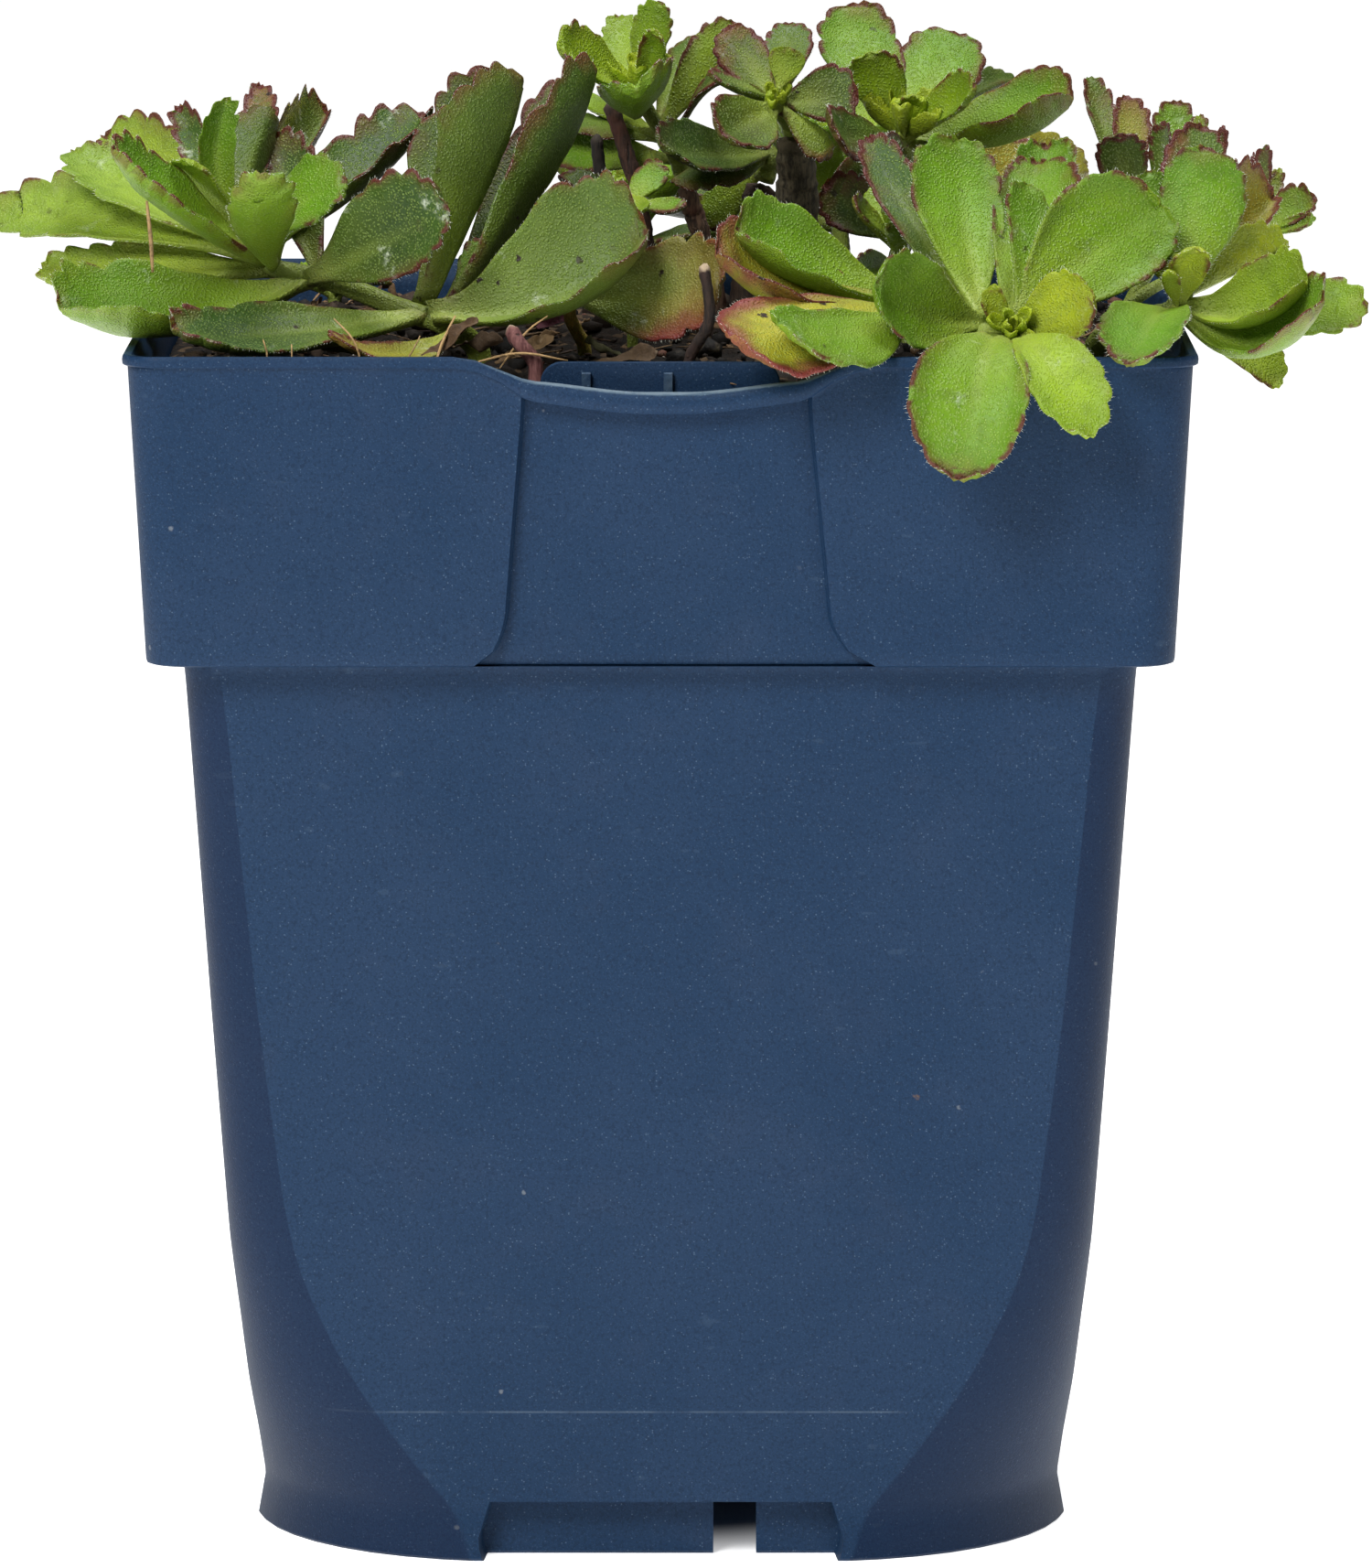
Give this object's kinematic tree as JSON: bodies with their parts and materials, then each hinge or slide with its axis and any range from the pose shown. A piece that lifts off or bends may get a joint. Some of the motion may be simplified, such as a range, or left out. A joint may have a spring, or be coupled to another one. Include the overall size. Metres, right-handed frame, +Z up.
{
  "type": "potted sedum",
  "caption": "Square dark blue nursery pot filled with peat and planted with a low creeping stonecrop of toothed, spoon-shaped green leaves with red edges.",
  "frame": {"origin": "on the surface that the pot stands on, under the middle of the pot", "axes": "+Z up; -Y towards the front, the side with the label slot in the rim; +X to the right seen from the front"},
  "size_m": [0.145, 0.1293, 0.1609],
  "materials": {
    "pot_plastic": "dark navy blue injection-moulded polypropylene with a fine sparkling grain, worn pale at the rim",
    "peat_soil": "dark fibrous peat with straw and dry leaf bits",
    "green_leaf": "fleshy green leaf, finely pimpled, satin, with fringed red-brown edges",
    "red_leaf": "ageing leaf, olive and dusty red, finely pimpled, satin",
    "pale_stem": "greyish green-brown woody stem with lenticels, matte",
    "brown_stem": "dry brown fibrous stem, matte"
  },
  "bodies": {
    "root": {"pot": "pot_plastic", "soil": "peat_soil", "shoot_left": "green_leaf", "shoot_red": "red_leaf", "shoot_top": "green_leaf", "shoot_small_mid": "green_leaf", "shoot_low_centre": "green_leaf", "shoot_centre": "green_leaf", "shoot_upper_right": "green_leaf", "shoot_front_right": "green_leaf", "shoot_small_light": "green_leaf", "shoot_right": "green_leaf", "shoot_far_right": "green_leaf", "shoot_back_a": "green_leaf", "shoot_back_b": "green_leaf", "stem_top": "brown_stem", "stem_dead_a": "brown_stem", "stem_dead_b": "brown_stem", "stem_low_centre": "brown_stem", "stem_centre": "pale_stem", "twig_front": "brown_stem", "stem_cut": "brown_stem", "shoot_back_middle": "green_leaf", "shoot_back_right": "green_leaf", "shoot_back_corner": "green_leaf", "shoot_back_left": "green_leaf"}
  },
  "joints": []
}
